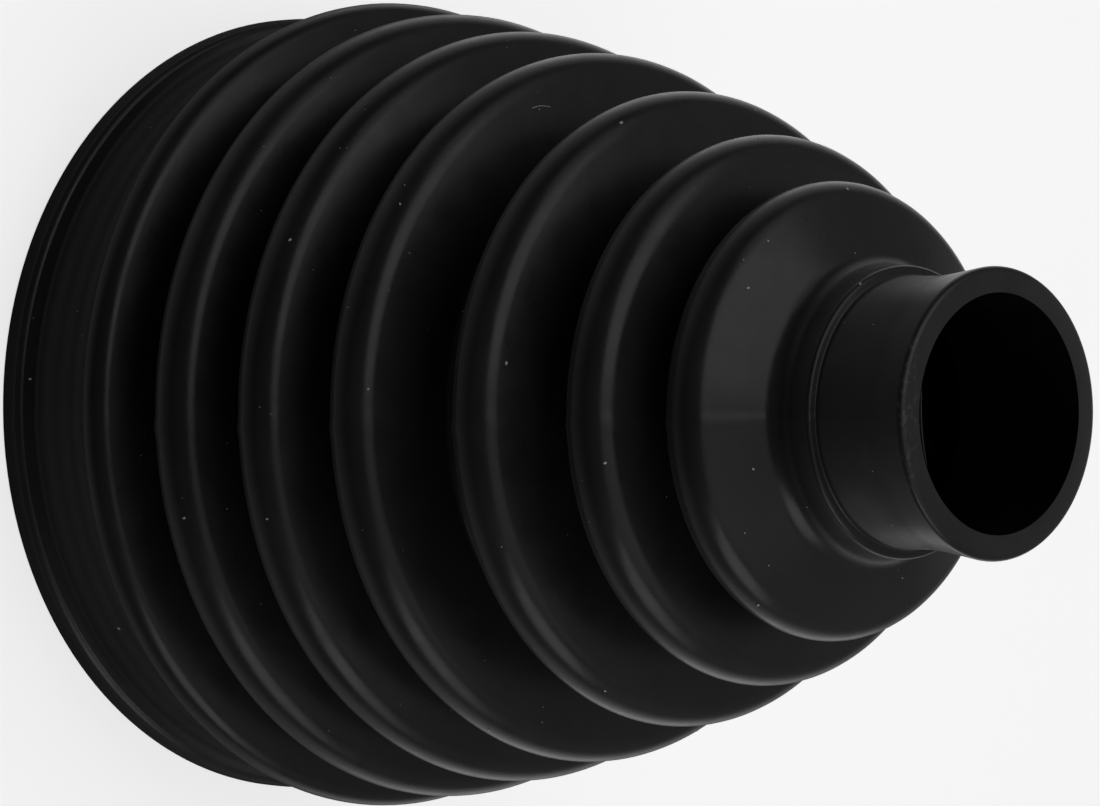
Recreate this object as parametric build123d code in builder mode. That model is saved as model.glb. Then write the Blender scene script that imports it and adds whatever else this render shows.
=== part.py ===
from build123d import *
from math import asin, atan2, cos, hypot, sin
import os

# Rubber bellows boot: one moulded piece, a tapered bellows with a clamp collar at each end.
# Frame: +Z runs along the boot's axis, from the large end to the small end. The origin is the
# centre of the large end face, on which the boot stands. Dimensions are in millimetres.

HEIGHT = 100.0

# Bellows. A radius is measured from the axis, a height from the large end face.
CREST_RADII = [43.1, 41.4, 39.1, 36.4, 32.0, 27.3, 22.5]
CREST_HEIGHTS = [15.4, 25.4, 35.6, 46.4, 59.3, 70.3, 79.0]
ROOT_RADII = [33.6, 32.2, 29.8, 25.2, 21.0, 16.9]
ROOT_HEIGHTS = [20.2, 30.6, 41.0, 51.4, 64.3, 74.5]
FIRST_TIP = 2.0          # rounding of the crest beside the large collar
TIP = 2.8                # rounding of every other crest
ROOT = 1.2               # rounding at the bottom of each fold, outside
WALL = 1.8

# Large collar
BEAD_RADIUS = 42.1       # raised band that ends the collar, round along its upper edge
BEAD_LENGTH = 2.65
BEAD_EDGE = 1.0
STEP_RADIUS = 41.24      # step down behind the bead
STEP_HEIGHT = 2.88
STEP_CURVE = 0.3
LARGE_SEAT = 40.49       # the clamp seat where it starts
LARGE_SEAT_HEIGHT = 4.25
LARGE_SEAT_CURVE = 1.5
LARGE_WAIST = 40.05      # the seat narrows to this and then runs almost straight
LARGE_WAIST_HEIGHT = 7.8
LARGE_WAIST_CURVE = 5.0
LARGE_SEAT_END = 40.2    # the clamp seat where it meets the first crest's underside
UNDERCUT = 0.9           # hollow rounding between the two
UNDERCUT_HEIGHT = 12.2
LARGE_BORE = LARGE_SEAT_END - WALL

# Small collar
NECK_RADIUS = 14.2
NECK_FOOT = 86.0         # where the hollow curve off the last face meets the neck
NECK_CURVE = 2.6
SHOULDER_HEIGHT = 88.5   # inner edge of the sloping ledge from the neck in to the clamp seat
LEDGE_FALL = 0.05
LEDGE_EDGE = 0.5
LEDGE_FOOT = 0.25
SMALL_SEAT = 13.25       # the clamp seat where it starts, beside the ledge
SMALL_WAIST = 13.1       # the seat is hollow, and this is its narrowest
SMALL_WAIST_HEIGHT = 91.8
SMALL_WAIST_CURVE = 24.0
RIM_RADIUS = 14.0        # the seat flares out to this at the small end
RIM_EDGE = 0.6
SMALL_BORE = 11.5
SMALL_BORE_LENGTH = 12.0

EDGE = 0.3               # rounding of the large end's outer edge

# The wall's two sides are drawn like a belt run over pulleys. Each bend is the centre of a
# pulley and its radius: (radius from the axis, height, rounding). A positive rounding swells
# out from the axis, a negative one is hollow, and none makes a plain corner.


def run_normal(start, end):
    """Outward normal of the straight run that touches one bend and then the next."""
    dr = end[0] - start[0]
    dz = end[1] - start[1]
    heading = atan2(dz, dr) + asin((start[2] - end[2]) / hypot(dr, dz))
    return Vector(sin(heading), -cos(heading))


def touch(bend, normal):
    """Point where a run with this normal touches the bend."""
    return Vector(bend[0], bend[1]) + normal * bend[2]


def draw_side(bends):
    """Draw one side of the wall, from the large end face to the small one."""
    normals = [run_normal(start, end) for start, end in zip(bends, bends[1:])]
    for start, end, normal in zip(bends, bends[1:], normals):
        Line(touch(start, normal), touch(end, normal))
    for bend, before, after in zip(bends[1:-1], normals, normals[1:]):
        if bend[2]:
            middle = (before + after).normalized()
            ThreePointArc(touch(bend, before), touch(bend, middle), touch(bend, after))


def bellows_bends(depth):
    """Crests and roots in turn, at a depth below the outer surface."""
    bends = []
    for index, (radius, height) in enumerate(zip(CREST_RADII, CREST_HEIGHTS)):
        tip = TIP if index else FIRST_TIP
        bends.append((radius - tip, height, tip - depth))
        if index < len(ROOT_RADII):
            bends.append((ROOT_RADII[index] + ROOT, ROOT_HEIGHTS[index], -ROOT - depth))
    return bends


outside = [
    (LARGE_BORE, 0.0, 0.0),
    (BEAD_RADIUS - EDGE, EDGE, EDGE),
    (BEAD_RADIUS - BEAD_EDGE, BEAD_LENGTH - BEAD_EDGE, BEAD_EDGE),
    (STEP_RADIUS + STEP_CURVE, STEP_HEIGHT, -STEP_CURVE),
    (LARGE_SEAT + LARGE_SEAT_CURVE, LARGE_SEAT_HEIGHT, -LARGE_SEAT_CURVE),
    (LARGE_WAIST + LARGE_WAIST_CURVE, LARGE_WAIST_HEIGHT, -LARGE_WAIST_CURVE),
    (LARGE_SEAT_END + UNDERCUT, UNDERCUT_HEIGHT, -UNDERCUT),
    *bellows_bends(0.0),
    (NECK_RADIUS + NECK_CURVE, NECK_FOOT, -NECK_CURVE),
    (NECK_RADIUS - LEDGE_EDGE, SHOULDER_HEIGHT - LEDGE_FALL - LEDGE_EDGE, LEDGE_EDGE),
    (SMALL_SEAT + LEDGE_FOOT, SHOULDER_HEIGHT + LEDGE_FOOT, -LEDGE_FOOT),
    (SMALL_WAIST + SMALL_WAIST_CURVE, SMALL_WAIST_HEIGHT, -SMALL_WAIST_CURVE),
    (RIM_RADIUS - RIM_EDGE, HEIGHT - RIM_EDGE, RIM_EDGE),
    (SMALL_BORE, HEIGHT, 0.0),
]

inside = [
    (LARGE_BORE, 0.0, 0.0),
    (LARGE_SEAT_END + UNDERCUT, UNDERCUT_HEIGHT, -UNDERCUT - WALL),
    *bellows_bends(WALL),
    (NECK_RADIUS + NECK_CURVE, NECK_FOOT, -NECK_CURVE - WALL),
    (SMALL_BORE, HEIGHT - SMALL_BORE_LENGTH, 0.0),
    (SMALL_BORE, HEIGHT, 0.0),
]

with BuildPart() as bellows_boot:
    with BuildSketch(Plane.XZ):
        with BuildLine():
            draw_side(outside)
            draw_side(inside)
        make_face()
    revolve(axis=Axis.Z)

bellows_boot.part.label = "bellows_boot"

os.makedirs("parts", exist_ok=True)
export_step(bellows_boot.part, "parts/bellows_boot.step")
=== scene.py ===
# %% [markdown]
# # A rubber bellows boot
# The boot is one moulded piece of black rubber: a wide collar, seven rounded folds that step
# down in size, a short neck with a shoulder, and a narrow collar with a flared rim. It stands
# on its large end, and +Z runs up its axis. We load the CAD model first, because everything
# here is built in its frame. Blender works in metres, so sizes in millimetres carry a factor.

# %% Load the frame
import bpy
import random
from math import asin, atan2, ceil, cos, hypot, pi, radians, sin
from mathutils import Matrix, Vector


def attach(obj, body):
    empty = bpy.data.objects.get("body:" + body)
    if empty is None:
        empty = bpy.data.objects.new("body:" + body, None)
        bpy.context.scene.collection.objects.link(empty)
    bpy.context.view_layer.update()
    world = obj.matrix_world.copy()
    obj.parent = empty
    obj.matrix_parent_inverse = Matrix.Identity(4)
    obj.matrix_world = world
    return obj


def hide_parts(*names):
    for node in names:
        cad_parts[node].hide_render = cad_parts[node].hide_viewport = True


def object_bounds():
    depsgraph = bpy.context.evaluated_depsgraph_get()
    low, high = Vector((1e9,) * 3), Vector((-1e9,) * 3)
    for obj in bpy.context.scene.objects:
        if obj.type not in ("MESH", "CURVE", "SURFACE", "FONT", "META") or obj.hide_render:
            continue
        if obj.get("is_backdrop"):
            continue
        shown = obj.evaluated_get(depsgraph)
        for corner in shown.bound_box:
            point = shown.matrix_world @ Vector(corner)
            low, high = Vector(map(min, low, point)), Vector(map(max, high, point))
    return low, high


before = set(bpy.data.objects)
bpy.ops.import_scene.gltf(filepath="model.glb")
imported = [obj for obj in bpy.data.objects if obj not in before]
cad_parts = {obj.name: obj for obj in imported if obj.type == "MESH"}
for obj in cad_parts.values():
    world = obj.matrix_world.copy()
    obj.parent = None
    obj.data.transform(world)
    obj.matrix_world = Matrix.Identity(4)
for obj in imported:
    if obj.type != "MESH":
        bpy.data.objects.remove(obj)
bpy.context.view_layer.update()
MM = 0.001

# %% [markdown]
# ## The camera
# A long lens looks down at the boot from about 46 degrees above the floor, and the camera is
# rolled a quarter turn, so that the boot's axis runs across the picture. We place it by the
# point it looks at, its distance and its angles, as a photographer would describe it.

# %% The camera
AIM = Vector((-0.4, 0.0, 38.3)) * MM
CAMERA_DISTANCE = 486.6 * MM
CAMERA_ELEVATION = radians(46.35)
CAMERA_ROLL = radians(90.85)
LENS = 153.0
SENSOR = 36.0


def look(direction, roll=0.0):
    """Rotation that turns a camera or a light to face a direction."""
    facing = Vector(direction).to_track_quat("-Z", "Y").to_matrix()
    return (facing @ Matrix.Rotation(roll, 3, "Z")).to_euler()


bpy.ops.object.select_all(action="DESELECT")
away = Vector((0.0, -cos(CAMERA_ELEVATION), sin(CAMERA_ELEVATION)))
bpy.ops.object.camera_add(
    location=AIM + away * CAMERA_DISTANCE, rotation=look(-away, CAMERA_ROLL)
)
camera = bpy.context.object
camera.data.lens = LENS
camera.data.sensor_width = SENSOR
camera.data.clip_start = 10 * MM
bpy.context.scene.camera = camera

# %% [markdown]
# ## The section of the wall
# A lathe turns a flat outline round an axis, and that is how a bellows is best made too. The
# outline has two sides, outside and inside. Each is like a belt run over pulleys: a crest is a
# pulley inside the belt, a root is one outside it, and a plain corner has no size. From the
# pulleys alone we can work out every straight run and every rounding.

# %% Sizes of the boot, in millimetres
HEIGHT = 100.0
CREST_RADII = [43.1, 41.4, 39.1, 36.4, 32.0, 27.3, 22.5]
CREST_HEIGHTS = [15.4, 25.4, 35.6, 46.4, 59.3, 70.3, 79.0]
ROOT_RADII = [33.6, 32.2, 29.8, 25.2, 21.0, 16.9]
ROOT_HEIGHTS = [20.2, 30.6, 41.0, 51.4, 64.3, 74.5]
FIRST_TIP, TIP, ROOT, WALL, EDGE = 2.0, 2.8, 1.2, 1.8, 0.3

BEAD_RADIUS, BEAD_LENGTH, BEAD_EDGE = 42.1, 2.65, 1.0
STEP_RADIUS, STEP_HEIGHT, STEP_CURVE = 41.24, 2.88, 0.3
LARGE_SEAT, LARGE_SEAT_HEIGHT, LARGE_SEAT_CURVE = 40.49, 4.25, 1.5
LARGE_WAIST, LARGE_WAIST_HEIGHT, LARGE_WAIST_CURVE = 40.05, 7.8, 5.0
LARGE_SEAT_END, UNDERCUT, UNDERCUT_HEIGHT = 40.2, 0.9, 12.2

NECK_RADIUS, NECK_FOOT, NECK_CURVE, SHOULDER_HEIGHT = 14.2, 86.0, 2.6, 88.5
LEDGE_FALL, LEDGE_EDGE, LEDGE_FOOT, SMALL_SEAT = 0.05, 0.5, 0.25, 13.25
SMALL_WAIST, SMALL_WAIST_HEIGHT, SMALL_WAIST_CURVE = 13.1, 91.8, 24.0
RIM_RADIUS, RIM_EDGE, SMALL_BORE, SMALL_BORE_LENGTH = 14.0, 0.6, 11.5, 12.0


def fold_bends(depth):
    """The folds' pulleys, at a depth below the outer surface: (radius, height, rounding)."""
    bends = []
    for index, (radius, height) in enumerate(zip(CREST_RADII, CREST_HEIGHTS)):
        tip = TIP if index else FIRST_TIP
        bends.append((radius - tip, height, tip - depth))
        if index < len(ROOT_RADII):
            bends.append((ROOT_RADII[index] + ROOT, ROOT_HEIGHTS[index], -ROOT - depth))
    return bends


outside_bends = [
    (LARGE_SEAT_END - WALL, 0.0, 0.0),
    (BEAD_RADIUS - EDGE, EDGE, EDGE),
    (BEAD_RADIUS - BEAD_EDGE, BEAD_LENGTH - BEAD_EDGE, BEAD_EDGE),
    (STEP_RADIUS + STEP_CURVE, STEP_HEIGHT, -STEP_CURVE),
    (LARGE_SEAT + LARGE_SEAT_CURVE, LARGE_SEAT_HEIGHT, -LARGE_SEAT_CURVE),
    (LARGE_WAIST + LARGE_WAIST_CURVE, LARGE_WAIST_HEIGHT, -LARGE_WAIST_CURVE),
    (LARGE_SEAT_END + UNDERCUT, UNDERCUT_HEIGHT, -UNDERCUT),
    *fold_bends(0.0),
    (NECK_RADIUS + NECK_CURVE, NECK_FOOT, -NECK_CURVE),
    (NECK_RADIUS - LEDGE_EDGE, SHOULDER_HEIGHT - LEDGE_FALL - LEDGE_EDGE, LEDGE_EDGE),
    (SMALL_SEAT + LEDGE_FOOT, SHOULDER_HEIGHT + LEDGE_FOOT, -LEDGE_FOOT),
    (SMALL_WAIST + SMALL_WAIST_CURVE, SMALL_WAIST_HEIGHT, -SMALL_WAIST_CURVE),
    (RIM_RADIUS - RIM_EDGE, HEIGHT - RIM_EDGE, RIM_EDGE),
    (SMALL_BORE, HEIGHT, 0.0),
]
inside_bends = [
    (LARGE_SEAT_END - WALL, 0.0, 0.0),
    (LARGE_SEAT_END + UNDERCUT, UNDERCUT_HEIGHT, -UNDERCUT - WALL),
    *fold_bends(WALL),
    (NECK_RADIUS + NECK_CURVE, NECK_FOOT, -NECK_CURVE - WALL),
    (SMALL_BORE, HEIGHT - SMALL_BORE_LENGTH, 0.0),
    (SMALL_BORE, HEIGHT, 0.0),
]

# %% From pulleys to points
OUTSIDE_STEP = radians(10)
INSIDE_STEP = radians(18)


def run_normal(start, end):
    """Outward normal of the straight run that touches one pulley and then the next."""
    dr, dz = end[0] - start[0], end[1] - start[1]
    heading = atan2(dz, dr) + asin((start[2] - end[2]) / hypot(dr, dz))
    return heading - pi / 2


def touch(bend, normal):
    """Point of a pulley where the belt's normal has this angle."""
    return Vector((bend[0] + bend[2] * cos(normal), bend[1] + bend[2] * sin(normal)))


def outline(bends, step):
    """Points along the belt, with one at least every step of turn on a rounding."""
    normals = [run_normal(start, end) for start, end in zip(bends, bends[1:])]
    points = [touch(bends[0], normals[0])]
    for bend, before, after in zip(bends[1:-1], normals, normals[1:]):
        pieces = ceil(abs(after - before) / step) if bend[2] else 0
        for index in range(pieces + 1):
            points.append(touch(bend, before + (after - before) * index / max(pieces, 1)))
    points.append(touch(bends[-1], normals[-1]))
    return points


outside_points = outline(outside_bends, OUTSIDE_STEP)
inside_points = outline(inside_bends, INSIDE_STEP)
print("outline points, outside and inside:", len(outside_points), len(inside_points))

# %% [markdown]
# ## Turning the wall
# The mould opens in two halves, and where they meet they leave a low ridge along the boot on
# opposite sides. So each side of the wall is spun in four sectors: two wide ones, and two
# narrow ones with finer steps that carry the ridge. An outline is drawn by extruding one
# vertex from point to point, and Spin sweeps it on from wherever the last sector ended.

# %% Lathe
HALF_STEPS = 86
LINE_STEPS = 12
LINE_HALF_ANGLE = 0.026
LINE_TURN = radians(-90 + 4.3)


def draw_outline(name, points, angle):
    """A new object whose mesh is the outline, standing in the plane at this angle."""
    places = [Vector((p.x * cos(angle), p.x * sin(angle), p.y)) * MM for p in points]
    bpy.ops.object.select_all(action="DESELECT")
    bpy.ops.mesh.primitive_plane_add(size=MM, location=places[0])
    made = bpy.context.object
    made.name = name
    bpy.ops.object.transform_apply(location=True)
    bpy.ops.object.mode_set(mode="EDIT")
    bpy.ops.mesh.select_all(action="SELECT")
    bpy.ops.mesh.merge(type="CENTER")
    for start, end in zip(places, places[1:]):
        bpy.ops.mesh.extrude_region_move(TRANSFORM_OT_translate={"value": end - start})
    return made


def turn_side(name, points):
    """One side of the wall, spun right round in four sectors, with its normals outwards."""
    made = draw_outline(name, points, LINE_TURN + LINE_HALF_ANGLE)
    bpy.ops.mesh.select_all(action="SELECT")
    wide, narrow = pi - 2 * LINE_HALF_ANGLE, 2 * LINE_HALF_ANGLE
    for steps, angle in ((HALF_STEPS, wide), (LINE_STEPS, narrow)) * 2:
        bpy.ops.mesh.spin(steps=steps, angle=angle, center=(0, 0, 0), axis=(0, 0, 1))
    bpy.ops.mesh.select_all(action="SELECT")
    bpy.ops.mesh.remove_doubles(threshold=0.001 * MM)
    bpy.ops.mesh.normals_make_consistent(inside=False)
    bpy.ops.object.mode_set(mode="OBJECT")
    return made


outer_skin = turn_side("rubber_boot", outside_points)
inner_skin = turn_side("inside_of_boot", inside_points)
print("faces turned:", len(outer_skin.data.polygons), len(inner_skin.data.polygons))

# %% [markdown]
# ## The moulding line
# A mould that has been used a lot no longer shuts quite tight, and the rubber follows it into
# the gap. We raise a strip of each narrow sector, then a narrower strip within it, and so on,
# which builds a low ridge with sloping sides. Shrink/Fatten moves each vertex along its own
# normal, so the ridge follows every fold. It fades out before the edge of the widest crest
# and of the collar's bead, so that the boot keeps its full size exactly.

# %% Raise the moulding line
RIDGE_LAYERS = [(0.022, 0.05), (0.0145, 0.07), (0.0075, 0.08), (0.0030, 0.05)]
RIDGE_TOP_RADIUS = 42.8 * MM


def raise_strip(half_angle, height):
    """Raise the part of the outer skin within this angle of the moulding line."""
    bpy.ops.mesh.select_all(action="DESELECT")
    bpy.ops.object.mode_set(mode="OBJECT")
    for vertex in outer_skin.data.vertices:
        x, y, z = vertex.co
        turned = (atan2(y, x) - LINE_TURN) % pi
        near_line = min(turned, pi - turned) < half_angle
        vertex.select = near_line and hypot(x, y) < RIDGE_TOP_RADIUS and MM < z < (HEIGHT - 1) * MM
    bpy.ops.object.mode_set(mode="EDIT")
    bpy.ops.transform.shrink_fatten(value=height)


bpy.ops.object.select_all(action="DESELECT")
outer_skin.select_set(True)
bpy.context.view_layer.objects.active = outer_skin
bpy.ops.object.mode_set(mode="EDIT")
bpy.ops.mesh.select_mode(type="VERT")
for half_angle, height in RIDGE_LAYERS:
    raise_strip(half_angle, height * MM)
bpy.ops.object.mode_set(mode="OBJECT")
print("ridge height, mm:", round(sum(height for _, height in RIDGE_LAYERS), 2))

# %% [markdown]
# ## The rubber
# Black rubber is not one flat black. Its skin copied the mould: a very fine grain that
# spreads the highlights, faint rings round the collar, which we take for turning marks,
# and broad patches that shine a little less where hands and dust have dulled it. The rim of
# the small end is rubbed pale on one side, and the lowest 2 mm of the bead is made a little
# paler. The base colour is close to black and all the rest is gloss, so most of the
# nodes drive roughness and bump. They read Object coordinates, in metres, so a scale of 3000
# gives grains of a third of a millimetre.

# %% Node helpers
def new_material(name, colour, roughness):
    """A material, its node tree and its Principled shader, with the plain values set."""
    made = bpy.data.materials.new(name)
    made.use_nodes = True
    principled = made.node_tree.nodes["Principled BSDF"]
    principled.inputs["Base Color"].default_value = (*colour, 1)
    principled.inputs["Roughness"].default_value = roughness
    return made, made.node_tree, principled


def add_noise(tree, scale, detail, roughness=0.5):
    """Noise on Object coordinates."""
    place = tree.nodes.new("ShaderNodeTexCoord")
    noise = tree.nodes.new("ShaderNodeTexNoise")
    noise.inputs["Scale"].default_value = scale
    noise.inputs["Detail"].default_value = detail
    noise.inputs["Roughness"].default_value = roughness
    tree.links.new(place.outputs["Object"], noise.inputs["Vector"])
    return noise


def add_range(tree, source, from_low, from_high, to_low, to_high):
    """Map a value smoothly from one range to another."""
    ranged = tree.nodes.new("ShaderNodeMapRange")
    ranged.interpolation_type = "SMOOTHSTEP"
    ranged.inputs["From Min"].default_value = from_low
    ranged.inputs["From Max"].default_value = from_high
    ranged.inputs["To Min"].default_value = to_low
    ranged.inputs["To Max"].default_value = to_high
    tree.links.new(source, ranged.inputs["Value"])
    return ranged.outputs["Result"]


def add_bump(tree, height, strength, distance, before=None):
    """A bump of a real depth, on top of another bump if there is one."""
    bump = tree.nodes.new("ShaderNodeBump")
    bump.inputs["Strength"].default_value = strength
    bump.inputs["Distance"].default_value = distance
    tree.links.new(height, bump.inputs["Height"])
    if before is not None:
        tree.links.new(before.outputs["Normal"], bump.inputs["Normal"])
    return bump


def add_multiply(tree, first, second):
    """The product of two values."""
    product = tree.nodes.new("ShaderNodeMath")
    product.operation = "MULTIPLY"
    tree.links.new(first, product.inputs[0])
    tree.links.new(second, product.inputs[1])
    return product.outputs["Value"]


def add_sum(tree, values):
    """The sum of several values."""
    total = values[0]
    for value in values[1:]:
        added = tree.nodes.new("ShaderNodeMath")
        tree.links.new(total, added.inputs[0])
        tree.links.new(value, added.inputs[1])
        total = added.outputs["Value"]
    return total


def add_colours(tree, factor, low_colour, high_colour):
    """A colour that runs from one to another with a value."""
    ramp = tree.nodes.new("ShaderNodeValToRGB")
    ramp.color_ramp.elements[0].color = (*low_colour, 1)
    ramp.color_ramp.elements[1].color = (*high_colour, 1)
    tree.links.new(factor, ramp.inputs["Fac"])
    return ramp.outputs["Color"]


# %% Rubber: colour and shine
RUBBER_BLACK = (0.0165, 0.0165, 0.017)
# The pale grey for the dust patches, the rubbed marks on the rim and the paler foot of the bead.
PALE_GREY = (0.060, 0.060, 0.061)

rubber, tree, shader = new_material("black rubber", RUBBER_BLACK, 0.30)
shader.inputs["IOR"].default_value = 1.5
shader.inputs["Sheen Weight"].default_value = 0.10
shader.inputs["Sheen Roughness"].default_value = 0.45
patches = add_noise(tree, scale=70, detail=5, roughness=0.6)
dustiness = add_range(tree, patches.outputs["Fac"], 0.38, 0.68, 0.0, 0.18)
place = tree.nodes.new("ShaderNodeTexCoord")
where = tree.nodes.new("ShaderNodeSeparateXYZ")
tree.links.new(place.outputs["Object"], where.inputs["Vector"])
on_rim = add_range(tree, where.outputs["Z"], 0.0992, 0.0997, 0.0, 1.0)
on_near_side = add_range(tree, where.outputs["Y"], -0.0126, -0.0112, 1.0, 0.0)
marks = add_noise(tree, scale=1300, detail=2, roughness=0.6)
marked = add_range(tree, marks.outputs["Fac"], 0.52, 0.66, 0.0, 1.0)
rubbed = add_multiply(tree, add_multiply(tree, on_rim, on_near_side), marked)
# The lowest 2 mm of the bead is made paler, fading out by 2.6 mm.
on_foot = add_range(tree, where.outputs["Z"], 0.0020, 0.0026, 0.30, 0.0)
paleness = add_sum(tree, [dustiness, rubbed, on_foot])
tree.links.new(add_colours(tree, paleness, RUBBER_BLACK, PALE_GREY), shader.inputs["Base Color"])
smears = add_noise(tree, scale=240, detail=6, roughness=0.65)
shine = add_range(tree, smears.outputs["Fac"], 0.30, 0.72, 0.255, 0.345)
tree.links.new(shine, shader.inputs["Roughness"])

# %% Rubber: grain of the skin, and rings turned in the mould of the collar
RING_SPACING = 2.4 * MM
RING_DEPTH = 0.05 * MM
RING_PHASE = 2.9
WAVE_TURN = 20
rings = tree.nodes.new("ShaderNodeTexWave")
rings.bands_direction = "Z"
rings.inputs["Scale"].default_value = 2 * pi / (WAVE_TURN * RING_SPACING)
rings.inputs["Phase Offset"].default_value = RING_PHASE
tree.links.new(place.outputs["Object"], rings.inputs["Vector"])
above_step = add_range(tree, where.outputs["Z"], 0.0032, 0.0045, 0.0, 1.0)
below_crest = add_range(tree, where.outputs["Z"], 0.0090, 0.0115, 1.0, 0.0)
on_collar = add_multiply(tree, above_step, below_crest)
collar_rings = add_bump(tree, add_multiply(tree, rings.outputs["Fac"], on_collar), 1.0, RING_DEPTH)
grain = add_noise(tree, scale=4200, detail=3)
grain_bump = add_bump(tree, grain.outputs["Fac"], 0.6, 0.006 * MM, collar_rings)
ripple = add_noise(tree, scale=420, detail=3)
skin_bump = add_bump(tree, ripple.outputs["Fac"], 0.5, 0.03 * MM, grain_bump)
tree.links.new(skin_bump.outputs["Normal"], shader.inputs["Normal"])

# %% [markdown]
# ## The inside of the boot
# The inside was shaped by the core of the mould and never wiped or handled, so it is duller
# than the outside. Its colour is also made near black, darker than the same rubber outside,
# which is painted shade for the hollow. It gets its own, rougher rubber.

# %% Inside rubber
# The near-black colour here is painted shade for the hollow inside; the extra roughness is the core's
# duller finish.
shaded_inside_rubber, tree, shader = new_material("dull inside rubber with painted shade", (0.004, 0.004, 0.004), 0.6)
shader.inputs["Specular IOR Level"].default_value = 0.12
mottle = add_noise(tree, scale=500, detail=5, roughness=0.6)
tree.links.new(add_range(tree, mottle.outputs["Fac"], 0.3, 0.7, 0.52, 0.70), shader.inputs["Roughness"])
# Mottled near-black colours, painted shade for the hollow inside.
inside_shade_colours = add_colours(tree, mottle.outputs["Fac"], (0.002, 0.002, 0.002), (0.006, 0.006, 0.006))
tree.links.new(inside_shade_colours, shader.inputs["Base Color"])
inside_grain = add_noise(tree, scale=3000, detail=3)
inside_bump = add_bump(tree, inside_grain.outputs["Fac"], 0.6, 0.012 * MM)
tree.links.new(inside_bump.outputs["Normal"], shader.inputs["Normal"])

# %% [markdown]
# ## Closing the wall
# Each side gets its rubber first, and then the two are joined. Their first and last points are
# the same, so merging doubles welds them into one closed wall, and the normals are worked
# out once more for the whole of it.

# %% Close the wall
outer_skin.data.materials.append(rubber)
inner_skin.data.materials.append(shaded_inside_rubber)
bpy.ops.object.select_all(action="DESELECT")
inner_skin.select_set(True)
outer_skin.select_set(True)
bpy.context.view_layer.objects.active = outer_skin
bpy.ops.object.join()
boot = outer_skin
bpy.ops.object.mode_set(mode="EDIT")
bpy.ops.mesh.select_all(action="SELECT")
bpy.ops.mesh.remove_doubles(threshold=0.001 * MM)
bpy.ops.mesh.normals_make_consistent(inside=False)
bpy.ops.object.mode_set(mode="OBJECT")
bpy.ops.object.shade_smooth_by_angle(angle=radians(35))
print("boot vertices:", len(boot.data.vertices), "faces:", len(boot.data.polygons))
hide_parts("bellows_boot")
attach(boot, "root")

# %% [markdown]
# ## A lip of flash
# A thin line runs just inside the rim for about a ninth of the way round. We take it for
# flash: rubber that crept between the core of the mould and its end plate. We draw its section,
# which curls up at the edge, fill it with a face, and spin the face through that angle. Then
# we draw its ends back into the wall, so that it thins out instead of stopping short.

# %% Flash inside the rim
FLASH_START = radians(-90 + 28)
FLASH_ANGLE = radians(42)
FLASH_STEPS = 28
FLASH_ROOT = 11.55 * MM
FLASH_THINNEST = 0.05
FLASH_BLUNTNESS = 0.4
FLASH_SECTION = [
    (11.55, 99.35),
    (11.15, 99.40),
    (10.92, 99.58),
    (10.86, 99.78),
    (10.93, 99.87),
    (11.03, 99.84),
    (11.10, 99.66),
    (11.20, 99.58),
    (11.55, 99.56),
    (11.55, 99.35),
]
flash = draw_outline("rim_flash", [Vector(point) for point in FLASH_SECTION], FLASH_START)
bpy.ops.mesh.select_all(action="SELECT")
bpy.ops.mesh.remove_doubles(threshold=0.001 * MM)
bpy.ops.mesh.edge_face_add()
bpy.ops.mesh.spin(steps=FLASH_STEPS, angle=FLASH_ANGLE, center=(0, 0, 0), axis=(0, 0, 1))
bpy.ops.mesh.select_all(action="SELECT")
bpy.ops.mesh.remove_doubles(threshold=0.001 * MM)
bpy.ops.mesh.normals_make_consistent(inside=False)
bpy.ops.object.mode_set(mode="OBJECT")
for vertex in flash.data.vertices:
    radius = hypot(vertex.co.x, vertex.co.y)
    along = (FLASH_START - atan2(vertex.co.y, vertex.co.x)) / FLASH_ANGLE
    fullness = max(FLASH_THINNEST, sin(pi * min(max(along, 0.0), 1.0)) ** FLASH_BLUNTNESS)
    drawn_back = FLASH_ROOT - (FLASH_ROOT - radius) * fullness
    vertex.co.xy *= drawn_back / radius
bpy.ops.object.shade_smooth_by_angle(angle=radians(50))
flash.data.materials.append(rubber)
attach(flash, "root")
print("flash faces:", len(flash.data.polygons))

# %% [markdown]
# ## Dust
# Rubber holds a charge and gathers crumbs of dust, and a black one shows them all. One
# crumb is modelled: an icosphere of 20 faces, pulled out of round. It is copied to
# the places where the larger crumbs lie, and a scatter of smaller ones goes all round the
# boot. To find a place we aim a ray from the camera at a column and row of the picture.

# %% Aim at the surface
PICTURE_WIDTH, PICTURE_HEIGHT = 1100, 806


def aim_at(column, row):
    """Point and normal of the boot under a column and row of the camera's picture."""
    aside = (column / PICTURE_WIDTH - 0.5) * SENSOR / LENS
    upward = (0.5 - row / PICTURE_HEIGHT) * SENSOR / LENS * PICTURE_HEIGHT / PICTURE_WIDTH
    turn = camera.rotation_euler.to_matrix()
    ray = turn @ Vector((aside, upward, -1.0))
    hit, place, normal, _ = boot.ray_cast(camera.location, ray)
    if not hit:
        raise ValueError(f"no surface at column {column}, row {row}")
    return place, normal


# %% A crumb of dust
bpy.ops.object.select_all(action="DESELECT")
bpy.ops.mesh.primitive_ico_sphere_add(subdivisions=1, radius=1.0)
crumb = bpy.context.object
crumb.name = "crumb"
bpy.ops.object.mode_set(mode="EDIT")
bpy.ops.mesh.select_all(action="SELECT")
bpy.ops.transform.resize(value=(1.0, 0.7, 0.45))
bpy.ops.transform.vertex_random(offset=0.25, seed=4)
bpy.ops.object.mode_set(mode="OBJECT")
print("crumb faces:", len(crumb.data.polygons))


def lay_crumb(place, normal, size, spin):
    """A copy of the crumb, of this size, lying on the surface and turned by spin."""
    copy = crumb.copy()
    copy.data = crumb.data.copy()
    bpy.context.collection.objects.link(copy)
    upright = normal.to_track_quat("Z", "Y").to_matrix().to_4x4()
    turned = Matrix.Rotation(spin, 4, "Z")
    copy.matrix_world = (
        Matrix.Translation(place + normal * 0.2 * size) @ upright @ turned @ Matrix.Scale(size, 4)
    )
    return copy


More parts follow.
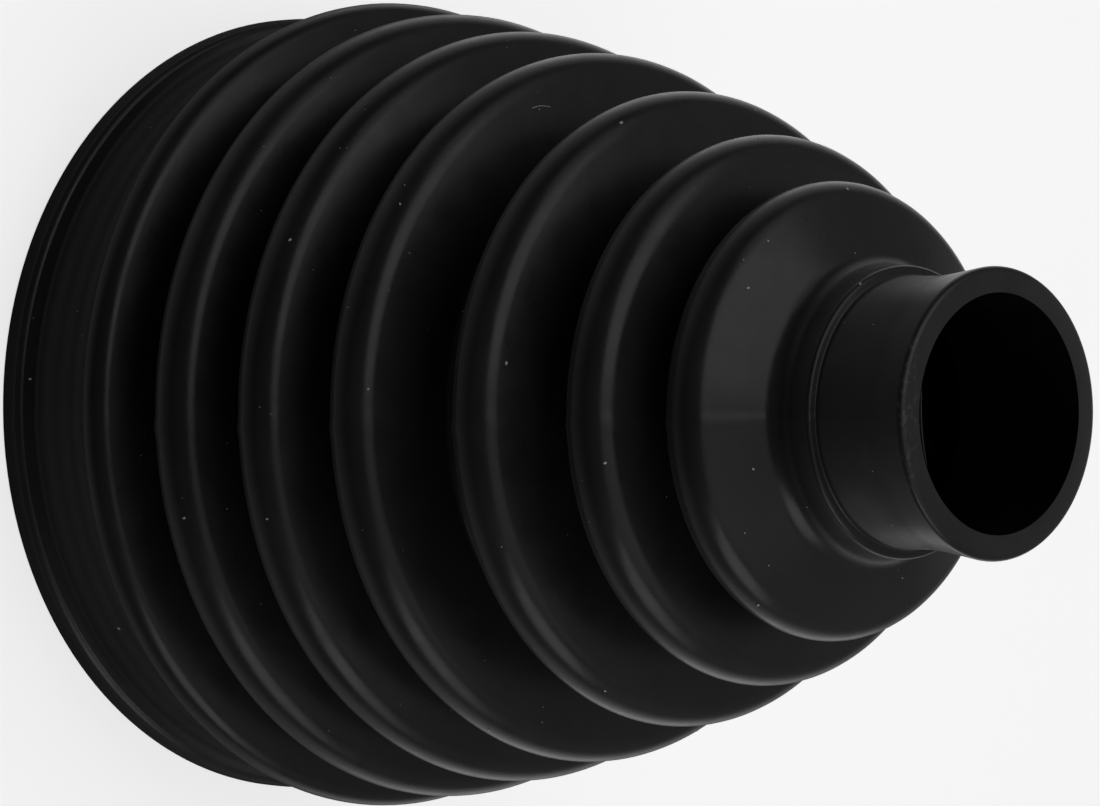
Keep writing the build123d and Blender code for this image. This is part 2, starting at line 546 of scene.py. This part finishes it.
# %% Where the dust lies
LARGE_CRUMBS = {
    "collar": (30, 379),
    "first crest": (119, 628),
    "first crest high": (184, 518),
    "second crest": (267, 519),
    "third crest": (290, 240),
    "fourth crest": (400, 204),
    "valley": (368, 389),
    "middle crest": (506, 363),
    "fifth crest": (621, 123),
    "sixth crest": (605, 463),
    "low edge": (605, 691),
    "low edge left": (489, 730),
    "last face": (753, 469),
    "last face low": (768, 241),
    "last face scuff": (748, 288),
    "last crest": (758, 605),
    "neck": (847, 189),
    "shoulder": (860, 284),
}
LARGE_SIZES = (0.15, 0.25)
random.seed(11)
crumbs = []
for column, row in LARGE_CRUMBS.values():
    place, normal = aim_at(column, row)
    crumbs.append(lay_crumb(place, normal, random.uniform(*LARGE_SIZES) * MM, random.uniform(0, pi)))
print("large crumbs:", len(crumbs))

# %% A scatter of fine dust
SCATTER = 260
FINE_SIZES = (0.05, 0.13)
DUSTY_HEIGHTS = (1.0, 99.0)
DUSTY_RADIUS = 42.8
low, high = DUSTY_HEIGHTS
bands = [
    (start, end)
    for start, end in zip(outside_points, outside_points[1:])
    if low < start.y and end.y < high and max(start.x, end.x) < DUSTY_RADIUS
]
band_areas = [(end - start).length * (start.x + end.x) for start, end in bands]
for start, end in random.choices(bands, weights=band_areas, k=SCATTER):
    along = random.random()
    angle = random.uniform(0, 2 * pi)
    across = end - start
    around = Vector((cos(angle), sin(angle), 0))
    point = start + across * along
    place = (around * point.x + Vector((0, 0, point.y))) * MM
    normal = (around * across.y - Vector((0, 0, across.x))).normalized()
    size = random.triangular(*FINE_SIZES, FINE_SIZES[0]) * MM
    crumbs.append(lay_crumb(place, normal, size, random.uniform(0, pi)))

# %% Join the dust
bpy.ops.object.select_all(action="DESELECT")
for part in crumbs:
    part.select_set(True)
bpy.context.view_layer.objects.active = crumbs[0]
bpy.ops.object.join()
dust = crumbs[0]
dust.name = "dust_specks"
bpy.ops.object.transform_apply(location=True, rotation=True, scale=True)
bpy.data.objects.remove(crumb)
lint, tree, shader = new_material("pale dust", (0.42, 0.41, 0.40), 0.9)
flecks = add_noise(tree, scale=2500, detail=2)
dust_colours = add_colours(tree, flecks.outputs["Fac"], (0.55, 0.55, 0.54), (0.90, 0.89, 0.88))
tree.links.new(dust_colours, shader.inputs["Base Color"])
dust.data.materials.clear()
dust.data.materials.append(lint)
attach(dust, "root")
print("dust faces:", len(dust.data.polygons))

# %% [markdown]
# ## A fibre
# One short lint fibre lies across the fifth crest. A curve with a round bevel is the quickest
# way to make a thread: we give it a few points a little above the surface, and turn it into a
# mesh before anything else is done to it.

# %% Lint fibre
FIBRE_PICTURE_PLACES = {"start": (532, 108), "middle": (541, 106), "end": (550, 107)}
FIBRE_THICKNESS = 0.09 * MM
bpy.ops.object.select_all(action="DESELECT")
bpy.ops.curve.primitive_bezier_curve_add()
fibre = bpy.context.object
fibre.name = "lint_fibre"
bpy.ops.object.mode_set(mode="EDIT")
bpy.ops.curve.select_all(action="SELECT")
bpy.ops.curve.subdivide(number_cuts=1)
bpy.ops.object.mode_set(mode="OBJECT")
for point, (column, row) in zip(fibre.data.splines[0].bezier_points, FIBRE_PICTURE_PLACES.values()):
    place, normal = aim_at(column, row)
    point.co = place + normal * FIBRE_THICKNESS / 2
    point.handle_left_type = "AUTO"
    point.handle_right_type = "AUTO"
fibre.data.bevel_depth = FIBRE_THICKNESS / 2
fibre.data.bevel_resolution = 1
fibre.data.use_fill_caps = True
bpy.ops.object.convert(target="MESH")
bpy.ops.object.mode_set(mode="EDIT")
bpy.ops.mesh.select_all(action="SELECT")
bpy.ops.mesh.remove_doubles(threshold=0.001 * MM)
bpy.ops.mesh.normals_make_consistent(inside=False)
bpy.ops.object.mode_set(mode="OBJECT")
fibre.data.materials.clear()
fibre.data.materials.append(lint)
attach(fibre, "root")

# %% [markdown]
# ## Floor and lights
# The boot stands on a sheet of pale paper. Black rubber shows little but reflections, so the
# lights are what draws its folds: two large softboxes overhead, one each side, one behind and
# a weak one low on the right. The paper glows a little by itself to stay pale, and it is kept
# out of reflections, where the world gives a dim glow. Round the foot the boot shades its own
# paper, so a card that only reflections see is darker there. These were set to suit this one
# view, and are no measure of a real studio.

# %% Floor
bpy.ops.object.select_all(action="DESELECT")
bpy.ops.mesh.primitive_plane_add(size=8.0)
floor = bpy.context.object
floor.name = "floor"
paper, tree, shader = new_material("floor paper", (0.88, 0.88, 0.88), 0.9)
shader.inputs["Emission Color"].default_value = (1, 1, 1, 1)
shader.inputs["Emission Strength"].default_value = 0.70
side_seen = tree.nodes.new("ShaderNodeNewGeometry")
see_through = tree.nodes.new("ShaderNodeBsdfTransparent")
either = tree.nodes.new("ShaderNodeMixShader")
tree.links.new(side_seen.outputs["Backfacing"], either.inputs["Fac"])
tree.links.new(shader.outputs["BSDF"], either.inputs[1])
tree.links.new(see_through.outputs["BSDF"], either.inputs[2])
tree.links.new(either.outputs["Shader"], tree.nodes["Material Output"].inputs["Surface"])
floor.data.materials.append(paper)
floor.visible_glossy = False
floor.visible_diffuse = False
floor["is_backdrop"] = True

# %% The boot's own shade on the paper
SHADE_GLOW = (0.015, 0.135)
SHADE_PALER = (42 * MM, 51 * MM)
SHADE_REACH = (54 * MM, 72 * MM)
SHADE_SIDES = 96
bpy.ops.object.select_all(action="DESELECT")
bpy.ops.mesh.primitive_circle_add(vertices=SHADE_SIDES, radius=SHADE_REACH[1], fill_type="NGON")
shade = bpy.context.object
shade.name = "shaded_paper"
shaded, tree, shader = new_material("shaded paper", (0.0, 0.0, 0.0), 1.0)
shader.inputs["Specular IOR Level"].default_value = 0.0
shader.inputs["Emission Color"].default_value = (1, 1, 1, 1)
place = tree.nodes.new("ShaderNodeTexCoord")
reach = tree.nodes.new("ShaderNodeVectorMath")
reach.operation = "LENGTH"
tree.links.new(place.outputs["Object"], reach.inputs[0])
beyond = tree.nodes.new("ShaderNodeBsdfTransparent")
fading = tree.nodes.new("ShaderNodeMixShader")
paler = add_range(tree, reach.outputs["Value"], *SHADE_PALER, *SHADE_GLOW)
tree.links.new(paler, shader.inputs["Emission Strength"])
fade = add_range(tree, reach.outputs["Value"], *SHADE_REACH, 0.0, 1.0)
tree.links.new(fade, fading.inputs["Fac"])
tree.links.new(shader.outputs["BSDF"], fading.inputs[1])
tree.links.new(beyond.outputs["BSDF"], fading.inputs[2])
tree.links.new(fading.outputs["Shader"], tree.nodes["Material Output"].inputs["Surface"])
shade.data.materials.append(shaded)
shade.visible_camera = False
shade.visible_diffuse = False
shade.visible_shadow = False
shade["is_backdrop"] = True


# %% Softboxes
def softbox(name, place, size, aim, radiance):
    """A rectangular light, as bright as a surface of this radiance."""
    place, aim = Vector(place), Vector(aim)
    bpy.ops.object.select_all(action="DESELECT")
    bpy.ops.object.light_add(type="AREA", location=place, rotation=look(aim - place))
    lamp = bpy.context.object
    lamp.name = name
    lamp.data.shape = "RECTANGLE"
    lamp.data.size, lamp.data.size_y = size
    lamp.data.energy = pi * size[0] * size[1] * radiance
    lamp.visible_camera = False
    return lamp


MIDDLE = (0, 0, 0.05)
softbox("overhead_left", (-0.15, 0, 0.40), (0.28, 0.34), (-0.15, 0, 0), 0.67)
softbox("overhead_right", (0.12, 0, 0.40), (0.24, 0.34), (0.12, 0, 0), 0.27)
softbox("right_side", (0.40, -0.08, 0.30), (0.28, 0.28), MIDDLE, 0.90)
softbox("left_side", (-0.38, 0.05, 0.38), (0.30, 0.20), MIDDLE, 0.33)
softbox("behind", (0, 0.45, 0.24), (0.20, 0.24), MIDDLE, 0.35)
softbox("low_right", (0.25, 0.10, 0.0), (0.30, 0.30), (0.25, 0.10, 1), 0.13)

# %% World
PALE_ROOM = 0.93
world = bpy.data.worlds.new("studio")
bpy.context.scene.world = world
world.use_nodes = True
tree = world.node_tree
toward = tree.nodes.new("ShaderNodeTexCoord")
direction = tree.nodes.new("ShaderNodeSeparateXYZ")
tree.links.new(toward.outputs["Generated"], direction.inputs["Vector"])
towards_x, towards_y, towards_z = direction.outputs

paper_near = add_range(tree, towards_z, -0.75, -0.05, 1.0, 0.0)
paper_far = add_multiply(
    tree,
    add_range(tree, towards_z, -0.75, -0.45, 0.0, 1.0),
    add_range(tree, towards_z, -0.05, 0.10, 1.0, 0.0),
)
behind_left = add_multiply(tree, paper_near, add_range(tree, towards_x, 0.0, 0.2, 1.0, 0.0))
behind_right = add_multiply(tree, paper_near, add_range(tree, towards_x, 0.36, 0.56, 0.0, 1.0))
above = add_range(tree, towards_z, 0.0, 0.4, 0.0, 1.0)
glow = add_sum(
    tree,
    [
        add_multiply(tree, paper_near, add_range(tree, towards_y, 0.0, 0.6, 0.085, 0.02)),
        add_range(tree, towards_z, -0.97, -0.80, 0.06, 0.0),
        add_multiply(tree, paper_near, add_range(tree, towards_x, -0.7, -0.1, 0.06, 0.0)),
        add_multiply(tree, paper_near, add_range(tree, towards_x, 0.1, 0.7, 0.0, 0.07)),
        add_multiply(tree, behind_left, add_range(tree, towards_y, 0.22, 0.62, 0.0, 0.72)),
        add_multiply(tree, behind_right, add_range(tree, towards_y, 0.22, 0.50, 0.0, 0.80)),
        add_multiply(tree, paper_far, add_range(tree, towards_y, -0.3, 0.5, 0.0, 0.22)),
        add_multiply(tree, paper_far, add_range(tree, towards_x, -0.8, -0.2, 0.055, 0.0)),
        add_multiply(tree, above, add_range(tree, towards_y, 0.0, 0.6, 0.02, 0.13)),
        add_range(tree, towards_x, 0.2, 0.9, 0.012, 0.065),
    ],
)
rays = tree.nodes.new("ShaderNodeLightPath")
room = tree.nodes.new("ShaderNodeMapRange")
room.inputs["To Max"].default_value = PALE_ROOM
tree.links.new(rays.outputs["Is Camera Ray"], room.inputs["Value"])
tree.links.new(glow, room.inputs["To Min"])
tree.links.new(room.outputs["Result"], tree.nodes["Background"].inputs["Strength"])
tree.nodes["Background"].inputs["Color"].default_value = (1, 1, 1, 1)
bpy.context.scene.view_settings.view_transform = "Standard"

# %% [markdown]
# ## Sizes
# Last, we print the box of the finished pieces.

# %% Sizes at the end
low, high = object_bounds()
print("visual box, mm:", [round(side / MM, 2) for side in high - low])
